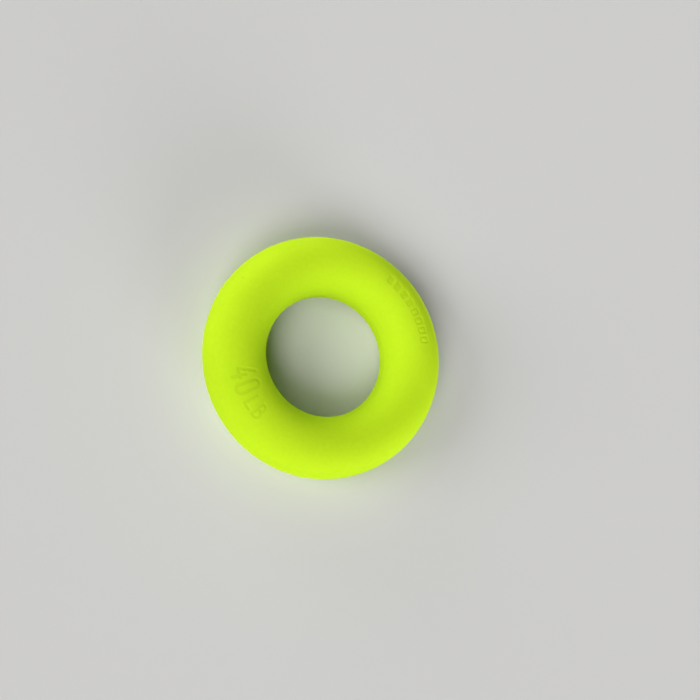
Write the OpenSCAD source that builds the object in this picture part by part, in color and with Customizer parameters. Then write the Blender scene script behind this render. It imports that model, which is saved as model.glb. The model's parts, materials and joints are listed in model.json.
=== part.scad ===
// Hand-grip exercise ring: one solid moulding of soft silicone rubber.
// The ring lies flat on the XY plane and its axis is Z. The origin is the
// centre of the ring at the level it rests on. -Y carries the recessed
// rating, +Y the recessed level gauge. In use the palm bears on +X and the
// fingers close on -X. The four nodes are the zones in which the one moulding
// works: two arcs that are held, and two bows that flex between them.

/* [Ring] */
// outside diameter of the ring
outer_d = 70; // [66:1:76]
// diameter of the hole
hole_d = 35; // [32:1:38]
// width of the trimmed land along the inner and outer parting line
land_w = 1.2; // [0.8:0.1:2.0]
// half of the angle that a held arc spans about the ring's axis
held_half_angle = 36; // [32:1:40]

/* [Marks] */
// depth of the recessed marks
mark_depth = 0.2; // [0.1:0.05:0.6]
// height of the two rating digits, in plan
digit_h = 7.2; // [6:0.2:8]
// width of one rating digit
digit_w = 3.2; // [2.8:0.1:3.4]
// line width of the digits
digit_line = 1.0; // [0.8:0.1:1.1]
// height of the two unit letters, in plan
unit_h = 4.6; // [4:0.2:5]
// line width of the unit letters
unit_line = 0.75; // [0.6:0.05:0.8]
// width of one box of the level gauge
box_w = 2.0; // [1.8:0.1:2.2]
// height of one box of the level gauge, in plan
box_h = 2.3; // [2:0.1:2.6]
// line width of the open boxes
box_line = 0.5; // [0.4:0.05:0.6]
// boxes of the level gauge that are filled in, out of eight
level = 4; // [1:1:7]

/* [Hidden] */
$fn = 96;

outer_r = outer_d / 2;
hole_r = hole_d / 2;
ring_r = (outer_r + hole_r) / 2;
half_w = (outer_r - hole_r) / 2;
// the round section is a touch larger than the lands that trim it
tube_r = sqrt(half_w * half_w + land_w * land_w / 4);
skin = 2;
deg = 180 / 3.14159265;
soft_green = [0.51, 0.75, 0.03];
flex_green = [0.42, 0.68, 0.03];

// the round section, trimmed to the lands at the hole and at the outside
module section() {
    translate([0, tube_r])
        intersection() {
            translate([ring_r, 0]) circle(r = tube_r);
            translate([hole_r, -tube_r - 1]) square([2 * half_w, 2 * tube_r + 2]);
        }
}

// a stretch of the ring from one azimuth to another
module arc(from, to) {
    rotate([0, 0, from]) rotate_extrude(angle = to - from) section();
}

// the layer of the ring that marks are sunk into
module mark_layer(from, to) {
    rotate([0, 0, from])
        rotate_extrude(angle = to - from)
            translate([ring_r, tube_r])
                difference() {
                    circle(r = tube_r + skin);
                    circle(r = tube_r - mark_depth);
                }
}

// a flat outline, stood upright through the top of the ring at one azimuth and
// radius. Its own +Y points to the hole (inward = 1) or away from it (-1).
module stand(azimuth, radius, inward) {
    rotate([0, 0, azimuth])
        translate([radius, 0, tube_r])
            rotate([0, 0, inward > 0 ? 90 : -90])
                linear_extrude(height = tube_r + 2 * skin) children();
}

// a bar of an outline, from its lower left corner
module bar(x, y, w, h) {
    translate([x, y]) square([w, h]);
}

module four() {
    w = digit_w; h = digit_h; s = digit_line;
    union() {
        bar(w - s, 0, s, h);
        bar(0, h * 0.34, w, s);
        bar(0, h * 0.34, s, h * 0.66);
    }
}

module nought() {
    w = digit_w; h = digit_h; s = digit_line;
    difference() {
        bar(0, 0, w, h);
        bar(s, s, w - 2 * s, h - 2 * s);
    }
}

module ell() {
    s = unit_line;
    union() {
        bar(0, 0, s, unit_h);
        bar(0, 0, unit_h * 0.5, s);
    }
}

module bee() {
    w = unit_h * 0.56; h = unit_h; s = unit_line;
    difference() {
        bar(0, 0, w, h);
        bar(s, s, w - 2 * s, h / 2 - 1.5 * s);
        bar(s, h / 2 + s / 2, w - 2 * s, h / 2 - 1.5 * s);
    }
}

module open_box() {
    difference() {
        bar(0, 0, box_w, box_h);
        bar(box_line, box_line, box_w - 2 * box_line, box_h - 2 * box_line);
    }
}

// radius in plan of the foot of the rating, and of the foot of the gauge
rating_foot = ring_r + 3.5;
gauge_foot = ring_r + 0.5;
rating_pitch = deg / (ring_r + 1);
gauge_pitch = deg / (gauge_foot + box_h / 2) * (box_w + 0.9);

// left edges of the four characters of the rating, in mm along the ring
rating_at = [-7.9, -7.9 + digit_w + 0.9, -7.9 + 2 * digit_w + 2.4,
             -7.9 + 2 * digit_w + 2.4 + unit_h * 0.5 + 0.9];
rating_w = [digit_w, digit_w, unit_h * 0.5, unit_h * 0.56];

module rating() {
    stand(270 + (rating_at[0] + rating_w[0] / 2) * rating_pitch, rating_foot, 1)
        translate([-rating_w[0] / 2, 0]) four();
    stand(270 + (rating_at[1] + rating_w[1] / 2) * rating_pitch, rating_foot, 1)
        translate([-rating_w[1] / 2, 0]) nought();
    stand(270 + (rating_at[2] + rating_w[2] / 2) * rating_pitch, rating_foot, 1)
        translate([-rating_w[2] / 2, 0]) ell();
    stand(270 + (rating_at[3] + rating_w[3] / 2) * rating_pitch, rating_foot, 1)
        translate([-rating_w[3] / 2, 0]) bee();
}

module gauge() {
    for (i = [0 : 7])
        stand(92 + (3.5 - i) * gauge_pitch, gauge_foot, -1)
            translate([-box_w / 2, 0])
                if (i < level) bar(0, 0, box_w, box_h); else open_box();
}

// the arc that bears on the palm
module palm_arc() {
    color(soft_green) arc(-held_half_angle, held_half_angle);
}

// the arc that the fingers pull
module finger_arc() {
    color(soft_green) arc(180 - held_half_angle, 180 + held_half_angle);
}

// the bow towards -Y, with the rating
module front_bow() {
    color(flex_green)
        difference() {
            arc(180 + held_half_angle, 360 - held_half_angle);
            intersection() {
                mark_layer(240, 300);
                rating();
            }
        }
}

// the bow towards +Y, with the level gauge
module rear_bow() {
    color(flex_green)
        difference() {
            arc(held_half_angle, 180 - held_half_angle);
            intersection() {
                mark_layer(55, 125);
                gauge();
            }
        }
}

palm_arc();
finger_arc();
front_bow();
rear_bow();
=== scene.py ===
import json
import math

import bpy
import numpy as np
from mathutils import Matrix, Vector, noise


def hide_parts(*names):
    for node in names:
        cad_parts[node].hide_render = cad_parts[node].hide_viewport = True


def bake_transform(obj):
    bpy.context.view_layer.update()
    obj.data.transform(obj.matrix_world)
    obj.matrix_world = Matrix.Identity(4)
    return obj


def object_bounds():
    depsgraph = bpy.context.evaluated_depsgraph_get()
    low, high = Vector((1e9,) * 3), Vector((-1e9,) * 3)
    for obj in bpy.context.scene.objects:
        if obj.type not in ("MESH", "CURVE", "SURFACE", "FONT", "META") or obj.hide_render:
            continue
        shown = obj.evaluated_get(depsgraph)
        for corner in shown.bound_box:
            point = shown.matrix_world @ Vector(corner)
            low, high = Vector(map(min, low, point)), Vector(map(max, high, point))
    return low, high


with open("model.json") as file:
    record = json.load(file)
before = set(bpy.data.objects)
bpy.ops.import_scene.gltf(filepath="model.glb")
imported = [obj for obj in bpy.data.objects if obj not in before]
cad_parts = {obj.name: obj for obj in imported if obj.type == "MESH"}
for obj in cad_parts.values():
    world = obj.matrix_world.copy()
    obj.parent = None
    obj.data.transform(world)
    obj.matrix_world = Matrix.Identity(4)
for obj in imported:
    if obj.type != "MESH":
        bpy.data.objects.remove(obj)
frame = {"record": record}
cad_lo, cad_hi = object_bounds()

# ---------------------------------------------------------------- sizes
# Lengths below are in millimetres until the mesh is written.
MM = 0.001
record = frame["record"]
hole = next(m for m in record["mounts"] if m["name"] == "hand_hole")
HOLE_R = hole["dims"]["r_mm"]
OUTER_R = (cad_hi.y - cad_lo.y) / 2 / MM
TUBE_R = (cad_hi.z - cad_lo.z) / 2 / MM
RING_R = (OUTER_R + HOLE_R) / 2
MID_Z = (cad_hi.z + cad_lo.z) / 2 / MM
DEG = math.pi / 180


# ---------------------------------------------------------------- the marks, as distances to their lines
def smooth(t):
    t = np.clip(t, 0.0, 1.0)
    return t * t * (3 - 2 * t)


def to_line(u, v, points):
    """Distance from (u, v) to a polyline."""
    best = np.full(np.broadcast(u, v).shape, 1e9)
    for (ax, ay), (bx, by) in zip(points[:-1], points[1:]):
        dx, dy = bx - ax, by - ay
        t = np.clip(((u - ax) * dx + (v - ay) * dy) / (dx * dx + dy * dy), 0, 1)
        best = np.minimum(best, np.hypot(u - ax - t * dx, v - ay - t * dy))
    return best


def to_round_box(u, v, cx, cy, w, h, r):
    """Signed distance to a box with round corners: below 0 inside."""
    qx, qy = np.abs(u - cx) - w / 2 + r, np.abs(v - cy) - h / 2 + r
    return np.hypot(np.maximum(qx, 0), np.maximum(qy, 0)) + np.minimum(np.maximum(qx, qy), 0) - r


DIGIT_W, DIGIT_H, DIGIT_LINE = 3.3, 7.6, 0.95
UNIT_H, UNIT_LINE = 4.8, 0.72
BOX_W, BOX_H, BOX_GAP, BOX_LINE, LEVEL = 2.0, 2.6, 0.9, 0.46, 4
RATING_AZ, RATING_TH, RATING_RAD = 268.8, 66.5, 27.0
GAUGE_AZ, GAUGE_TH, GAUGE_RAD = 92.0, 78.5, 28.2
RATING_DEPTH, GAUGE_DEPTH = 0.125, 0.13


def rating_depth(u, v):
    """How deep the rating is cut at (u, v), 0 to 1. u runs along the ring from its middle, v up from the foot of the digits."""
    s = DIGIT_LINE / 2
    x = -7.4
    w, h = DIGIT_W - 2 * s, DIGIT_H - 2 * s
    d = to_line(u, v, [(x + s + w * 0.62, s + h), (x + s, s + h * 0.31), (x + s + w, s + h * 0.31)]) - s
    d = np.minimum(d, to_line(u, v, [(x + s + w * 0.78, s + h * 0.56), (x + s + w * 0.78, s)]) - s)
    x += DIGIT_W + 0.85
    ring = to_round_box(u, v, x + DIGIT_W / 2, DIGIT_H / 2, w, h, w / 2)
    d = np.minimum(d, np.abs(ring) - s)
    x += DIGIT_W + 1.5
    s = UNIT_LINE / 2
    top = 0.5 + UNIT_H
    d = np.minimum(d, to_line(u, v, [(x + s, top - s), (x + s, 0.5 + s), (x + 2.25, 0.5 + s)]) - s)
    x += 3.2
    mid, bw = 0.5 + UNIT_H * 0.52, 2.45
    for lo, hi, wide in ((0.5 + s, mid, bw - 2 * s), (mid, top - s, bw - 2 * s - 0.22)):
        r = (hi - lo) / 2
        lobe = np.where(
            u < x + s + wide - r,
            np.where(u > x + s, np.minimum(np.abs(v - lo), np.abs(v - hi)), 1e9),
            np.abs(np.hypot(u - (x + s + wide - r), v - (lo + hi) / 2) - r),
        )
        d = np.minimum(d, lobe - s)
    d = np.minimum(d, to_line(u, v, [(x + s, 0.5 + s), (x + s, top - s)]) - s)
    return smooth(0.5 - d / 0.5)


def gauge_depth(u, v):
    """The same for the level gauge: eight small boxes, the first ones filled in. v is 0 at the middle of the boxes."""
    out = np.zeros(np.broadcast(u, v).shape)
    pitch = BOX_W + BOX_GAP
    for i in range(8):
        cx = (i - 3.5) * pitch
        d = to_round_box(u, v, cx, 0.0, BOX_W, BOX_H, 0.45)
        if i < LEVEL:
            out = np.maximum(out, 1.15 * smooth(0.5 - d / 0.36))
        else:
            out = np.maximum(out, smooth(0.5 - (np.abs(d + BOX_LINE / 2) - BOX_LINE / 2) / 0.30))
    return out


# ---------------------------------------------------------------- the skin: one closed surface round the whole ring
def spaced(total, coarse, growth, windows):
    """Angles round a circle: fine inside each window (low, high, step), growing to the coarse step elsewhere."""
    x, out = 0.0, []
    while x < total - 0.2:
        out.append(x)
        step = coarse
        for low, high, fine in windows:
            for y in (x - total, x, x + total):
                off = max(low - y, y - high, 0.0)
                step = min(step, fine + off * growth)
        x += step
    return np.array(out)


PITS = [(203.6, 47.0, 0.40, 0.09), (265.1, 34.7, 0.30, 0.10)]  # azimuth, angle round the section, radius, depth
AZ = spaced(360.0, 0.62, 0.2, [(69.0, 115.2, 0.35), (252.4, 285.6, 0.35)] + [(p[0] - 0.6, p[0] + 0.6, 0.3) for p in PITS])
TH = spaced(
    360.0,
    6.5,
    0.3,
    [(65.5, 117.5, 1.12), (-2.6, 2.6, 0.85), (177.4, 182.6, 1.0)] + [(p[1] - 2.0, p[1] + 2.0, 1.2) for p in PITS],
)
PH, TT = np.meshgrid(AZ, TH, indexing="ij")
NU, NV = PH.shape

u_rate = (PH - RATING_AZ) * DEG * RATING_RAD
v_rate = (TT - RATING_TH) * DEG * TUBE_R
u_gauge = (GAUGE_AZ - PH) * DEG * GAUGE_RAD
v_gauge = (GAUGE_TH - TT) * DEG * TUBE_R
rating, gauge = np.zeros_like(PH), np.zeros_like(PH)
near = (np.abs(u_rate) < 10) & (v_rate > -1) & (v_rate < 9)
rating[near] = rating_depth(u_rate[near], v_rate[near])
near = (np.abs(u_gauge) < 14) & (np.abs(v_gauge) < 3) & (np.abs(PH - 90) < 40)
gauge[near] = gauge_depth(u_gauge[near], v_gauge[near])
# painted shade in the recessed lines of the marks; the broad floors of the filled boxes get less of it
painted_shade = rating + gauge * np.where(u_gauge < 0, 0.4, 1.0)

# slow unevenness of a moulded soft part, and the trimmed parting line at the hole and round the outside
slow = np.zeros_like(PH)
ragged = np.zeros(NU)
worn = np.zeros(NU)
for i, a in enumerate(AZ * DEG):
    out = Vector((math.cos(a), math.sin(a), 0)) * OUTER_R
    ragged[i] = noise.noise(out * 0.9 + Vector((0, 0, 3.1))) * 0.75 + noise.noise(out * 0.26 + Vector((0, 0, 7.7)))
    worn[i] = noise.noise(out * 0.045 + Vector((2.4, 0, 1.9)))
    for j, t in enumerate(TH * DEG):
        r = RING_R + TUBE_R * math.cos(t)
        p = Vector((r * math.cos(a), r * math.sin(a), TUBE_R * math.sin(t)))
        slow[i, j] = noise.noise(p * 0.055 + Vector((5.2, 1.3, 8.8)))

side = (TT + 90) % 180 - 90  # degrees from the nearer parting line, at 0 and at 180
arc = side * DEG * TUBE_R
width = 0.40 + 0.05 * worn[:, None] + 0.03 * ragged[:, None]
land = 1.0 - smooth((np.abs(arc) - width) / 0.38)
flash = np.exp(-((arc / 0.15) ** 2))
outside = (np.cos(TT * DEG) > 0).astype(float)
# what the trimming leaves: a low torn fin, nicked here and there, and cut cleaner round the hole
fin = (0.10 + 0.30 * ragged + 0.08 * worn).clip(0.0, 0.30)[:, None] * (0.25 + 0.75 * outside)
r_tube = TUBE_R - 0.012 - 0.022 * (slow + 0.5).clip(0, 1)
r_tube = r_tube - land * (0.10 + 0.012 * ragged[:, None])
r_tube = r_tube + flash * fin
r_tube = r_tube - RATING_DEPTH * rating - GAUGE_DEPTH * gauge


# small pits that bubbles left at the mould's face
for az, th, size, deep in PITS:
    du = ((PH - az + 180) % 360 - 180) * DEG * (RING_R + TUBE_R * math.cos(th * DEG))
    dv = ((TT - th + 180) % 360 - 180) * DEG * TUBE_R
    pit = np.exp(-(du**2 + dv**2) / (size**2))
    r_tube = r_tube - deep * pit
    # the pits get the painted shade as well
    painted_shade = np.maximum(painted_shade, pit)


RAD = RING_R + r_tube * np.cos(TT * DEG)
X = RAD * np.cos(PH * DEG)
Y = RAD * np.sin(PH * DEG)
Z = MID_Z + r_tube * np.sin(TT * DEG)
verts = np.stack([X, Y, Z], -1).reshape(-1, 3) * MM
ii, jj = np.meshgrid(np.arange(NU), np.arange(NV), indexing="ij")
a = ii * NV + jj
b = ((ii + 1) % NU) * NV + jj
c = ((ii + 1) % NU) * NV + (jj + 1) % NV
d = ii * NV + (jj + 1) % NV
faces = np.stack([a, b, c, d], -1).reshape(-1, 4)

mesh = bpy.data.meshes.new("grip_ring")
mesh.vertices.add(len(verts))
mesh.vertices.foreach_set("co", verts.astype(np.float32).ravel())
mesh.loops.add(faces.size)
mesh.loops.foreach_set("vertex_index", faces.astype(np.int32).ravel())
mesh.polygons.add(len(faces))
mesh.polygons.foreach_set("loop_start", np.arange(0, faces.size, 4, dtype=np.int32))
mesh.update(calc_edges=True)
mesh.validate()
mesh.polygons.foreach_set("use_smooth", np.ones(len(faces), bool))
# the painted shade mask, passed to the material as an attribute
recess_shade_paint = mesh.attributes.new("recess_shade_paint", "FLOAT", "POINT")
recess_shade_paint.data.foreach_set("value", painted_shade.ravel().astype(np.float32))
seam = mesh.attributes.new("seam", "FLOAT", "POINT")
seam.data.foreach_set("value", (land * 0.6 + flash * 0.4).ravel().astype(np.float32))
skin = bpy.data.objects.new("grip_ring", mesh)
bpy.context.scene.collection.objects.link(skin)
print("SKIN", NU, NV, len(faces))


# ---------------------------------------------------------------- material
def node(tree, kind, at, **values):
    n = tree.nodes.new(kind)
    n.location = at
    for k, v in values.items():
        setattr(n, k, v)
    return n


def silicone():
    m = bpy.data.materials.new("lime_silicone")
    m.use_nodes = True
    t = m.node_tree
    t.nodes.clear()
    out = node(t, "ShaderNodeOutputMaterial", (900, 0))
    sh = node(t, "ShaderNodeBsdfPrincipled", (600, 0))
    t.links.new(sh.outputs[0], out.inputs[0])
    co = node(t, "ShaderNodeTexCoord", (-1400, 0))

    def grain(scale, detail, rough, at):
        n = node(t, "ShaderNodeTexNoise", at)
        n.inputs["Scale"].default_value = scale
        n.inputs["Detail"].default_value = detail
        n.inputs["Roughness"].default_value = rough
        t.links.new(co.outputs["Object"], n.inputs["Vector"])
        return n.outputs["Fac"]

    cloud = grain(55.0, 3.0, 0.5, (-1100, 300))
    mottle = grain(900.0, 2.0, 0.6, (-1100, 60))
    fine = grain(5200.0, 2.0, 0.55, (-1100, -180))

    # pigment: slow clouding and a fine mottle
    ramp = node(t, "ShaderNodeValToRGB", (-700, 320))
    ramp.color_ramp.elements[0].position = 0.3
    ramp.color_ramp.elements[1].position = 0.7
    ramp.color_ramp.elements[0].color = (*PIGMENT_DARK, 1)
    ramp.color_ramp.elements[1].color = (*PIGMENT, 1)
    t.links.new(cloud, ramp.inputs["Fac"])
    mix1 = node(t, "ShaderNodeMix", (-350, 260), data_type="RGBA", blend_type="MULTIPLY")
    mr = node(t, "ShaderNodeMapRange", (-700, 60))
    mr.inputs["From Min"].default_value, mr.inputs["From Max"].default_value = 0.3, 0.7
    mr.inputs["To Min"].default_value, mr.inputs["To Max"].default_value = 0.965, 1.0
    t.links.new(mottle, mr.inputs["Value"])
    mix1.inputs[0].default_value = 1.0
    t.links.new(ramp.outputs["Color"], mix1.inputs[6])
    t.links.new(mr.outputs["Result"], mix1.inputs[7])
    # painted shade: the base colour is mixed toward a darker green in the recessed marks and the pits, standing in for
    # the shade that falls in them
    shade_attr = node(t, "ShaderNodeAttribute", (-700, 620), attribute_name="recess_shade_paint")
    shade_mix = node(t, "ShaderNodeMix", (0, 260), data_type="RGBA", blend_type="MIX")
    shade_amount = node(t, "ShaderNodeMath", (-350, 560), operation="MULTIPLY")
    shade_amount.inputs[1].default_value = SHADE_PAINT_STRENGTH
    t.links.new(shade_attr.outputs["Fac"], shade_amount.inputs[0])
    t.links.new(shade_amount.outputs[0], shade_mix.inputs[0])
    t.links.new(mix1.outputs[2], shade_mix.inputs[6])
    shade_mix.inputs[7].default_value = (*SHADE_PAINT_COLOR, 1)
    t.links.new(shade_mix.outputs[2], sh.inputs["Base Color"])

    # roughness: matte, varying a little in slow clouds across the surface, duller along the trimmed parting line
    rr = node(t, "ShaderNodeMapRange", (-350, -60))
    rr.inputs["From Min"].default_value, rr.inputs["From Max"].default_value = 0.3, 0.7
    rr.inputs["To Min"].default_value, rr.inputs["To Max"].default_value = ROUGH - 0.035, ROUGH + 0.035
    t.links.new(cloud, rr.inputs["Value"])
    sm = node(t, "ShaderNodeAttribute", (-350, -300), attribute_name="seam")
    add = node(t, "ShaderNodeMath", (0, -60), operation="MULTIPLY_ADD")
    t.links.new(sm.outputs["Fac"], add.inputs[0])
    add.inputs[1].default_value = 0.12
    t.links.new(rr.outputs["Result"], add.inputs[2])
    t.links.new(add.outputs[0], sh.inputs["Roughness"])

    # the mould's fine blasted texture
    b1 = node(t, "ShaderNodeBump", (0, -420))
    b1.inputs["Strength"].default_value = 0.22
    b1.inputs["Distance"].default_value = 0.00005
    t.links.new(fine, b1.inputs["Height"])
    b2 = node(t, "ShaderNodeBump", (260, -420))
    b2.inputs["Strength"].default_value = 0.25
    b2.inputs["Distance"].default_value = 0.00006
    t.links.new(mottle, b2.inputs["Height"])
    t.links.new(b1.outputs[0], b2.inputs["Normal"])
    t.links.new(b2.outputs[0], sh.inputs["Normal"])

    sh.inputs["IOR"].default_value = 1.41
    sh.inputs["Specular IOR Level"].default_value = SPEC
    sh.inputs["Specular Tint"].default_value = (*SPEC_TINT, 1)
    sh.inputs["Subsurface Weight"].default_value = SSS
    sh.inputs["Subsurface Radius"].default_value = (1.0, 1.2, 0.12)
    sh.inputs["Subsurface Scale"].default_value = 0.0022
    sh.inputs["Sheen Weight"].default_value = SHEEN
    sh.inputs["Sheen Roughness"].default_value = 0.3
    sh.inputs["Sheen Tint"].default_value = (*SHEEN_TINT, 1)
    return m


PIGMENT = (0.464, 0.690, 0.0148)
PIGMENT_DARK = (0.438, 0.660, 0.0137)
# the darker green painted into the recessed marks and pits as shade
SHADE_PAINT_COLOR = (0.27, 0.42, 0.008)
SHADE_PAINT_STRENGTH = 0.18
ROUGH = 0.50
SPEC = 0.01
SPEC_TINT = (0.80, 1.0, 0.10)
SSS = 0.10
SHEEN, SHEEN_TINT = 0.60, (0.62, 0.92, 0.010)
mesh.materials.append(silicone())

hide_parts("palm_arc", "finger_arc", "front_bow", "rear_bow")
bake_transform(skin)

# ---------------------------------------------------------------- floor, light and camera
centre = Vector((0, 0, MID_Z * MM))


def floor():
    me = bpy.data.meshes.new("floor")
    s = 3.0
    me.from_pydata([(-s, -s, 0), (s, -s, 0), (s, s, 0), (-s, s, 0)], [], [(0, 1, 2, 3)])
    o = bpy.data.objects.new("floor", me)
    bpy.context.scene.collection.objects.link(o)
    m = bpy.data.materials.new("pale_floor")
    m.use_nodes = True
    p = m.node_tree.nodes["Principled BSDF"]
    p.inputs["Base Color"].default_value = (0.70, 0.694, 0.683, 1)
    p.inputs["Roughness"].default_value = 1.0
    p.inputs["Specular IOR Level"].default_value = 0.0
    me.materials.append(m)
    return o


# the panels that stand close would light the floor in patches, so they pass it by
off_floor = bpy.data.collections.new("off_floor")
off_floor.objects.link(floor())
off_floor.collection_objects[0].light_linking.link_state = "EXCLUDE"


def toward(az, el):
    """A direction: azimuth from +X in the floor plane, elevation above it, in degrees."""
    return Vector((math.cos(az * DEG) * math.cos(el * DEG), math.sin(az * DEG) * math.cos(el * DEG), math.sin(el * DEG)))


def soft(name, az, el, strength, width=34.4):
    """A large soft source far away, so that it lights the whole floor evenly. width is how wide it looks, in degrees."""
    light = bpy.data.lights.new(name, "SUN")
    light.energy = strength
    light.angle = width * DEG
    o = bpy.data.objects.new(name, light)
    o.rotation_euler = (-toward(az, el)).to_track_quat("-Z", "Y").to_euler()
    o.location = centre + toward(az, el) * 1.5
    bpy.context.scene.collection.objects.link(o)
    return o


def panel(name, az, out, up, size, power):
    """A small soft panel close to the object, aimed at it: out from the axis and up from the floor, in metres."""
    light = bpy.data.lights.new(name, "AREA")
    light.shape = "DISK"
    light.size = size
    light.energy = power
    o = bpy.data.objects.new(name, light)
    o.location = Vector((math.cos(az * DEG) * out, math.sin(az * DEG) * out, up))
    o.rotation_euler = (o.location - centre).to_track_quat("Z", "Y").to_euler()
    o.visible_camera = False
    o.light_linking.receiver_collection = off_floor
    bpy.context.scene.collection.objects.link(o)
    return o


soft("key", 300, 42, 1.789)
soft("fill", 240, 24, 1.594)
soft("high", 240, 62, 0.544)
soft("side_right", 0, 8, 2.096)
soft("side_left", 180, 8, 0.708)
panel("top", 90, 0.09, 0.15, 0.07, 0.0401)
panel("left", 180, 0.13, 0.05, 0.07, 0.0386)
panel("rim_right", 30, 0.14, 0.025, 0.05, 0.0522)
panel("rim_back", 150, 0.14, 0.025, 0.05, 0.0370)

# the backdrop is only seen: it has the floor's own brightness, and adds almost no light
world = bpy.data.worlds.new("studio")
bpy.context.scene.world = world
world.use_nodes = True
wt = world.node_tree
bg = wt.nodes["Background"]
bg.inputs["Color"].default_value = (0.619, 0.614, 0.604, 1)
seen = wt.nodes.new("ShaderNodeLightPath")
wt.links.new(seen.outputs["Is Camera Ray"], bg.inputs["Strength"])

FOCAL_PX, AWAY = 823.0, 9.0 * 26.25 * MM
AIM_PX = (324.8, 356.0)
turn, tilt = 27.2 * DEG, 21.5 * DEG
y_cam = Vector((math.cos(turn) * math.cos(tilt), math.sin(turn) * math.cos(tilt), -math.sin(tilt)))
x_cam = Vector((math.sin(turn), -math.cos(turn), 0))
z_cam = x_cam.cross(y_cam)
to_cam = Matrix((x_cam, y_cam, z_cam)).transposed()  # world axes as columns in camera coordinates
back = to_cam.transposed()
at = Vector(((AIM_PX[0] - 350) / FOCAL_PX * AWAY, -(AIM_PX[1] - 350) / FOCAL_PX * AWAY, -AWAY))
cam_data = bpy.data.cameras.new("camera")
cam_data.sensor_width = 36.0
cam_data.lens = FOCAL_PX * 36.0 / 700.0
cam_data.clip_start = 0.01
cam = bpy.data.objects.new("camera", cam_data)
cam.matrix_world = Matrix.Translation(centre - back @ at) @ back.to_4x4()
bpy.context.scene.collection.objects.link(cam)
bpy.context.scene.camera = cam

bpy.context.scene.view_settings.view_transform = "Standard"
bpy.context.scene.view_settings.look = "None"
bpy.context.scene.view_settings.exposure = 0.0
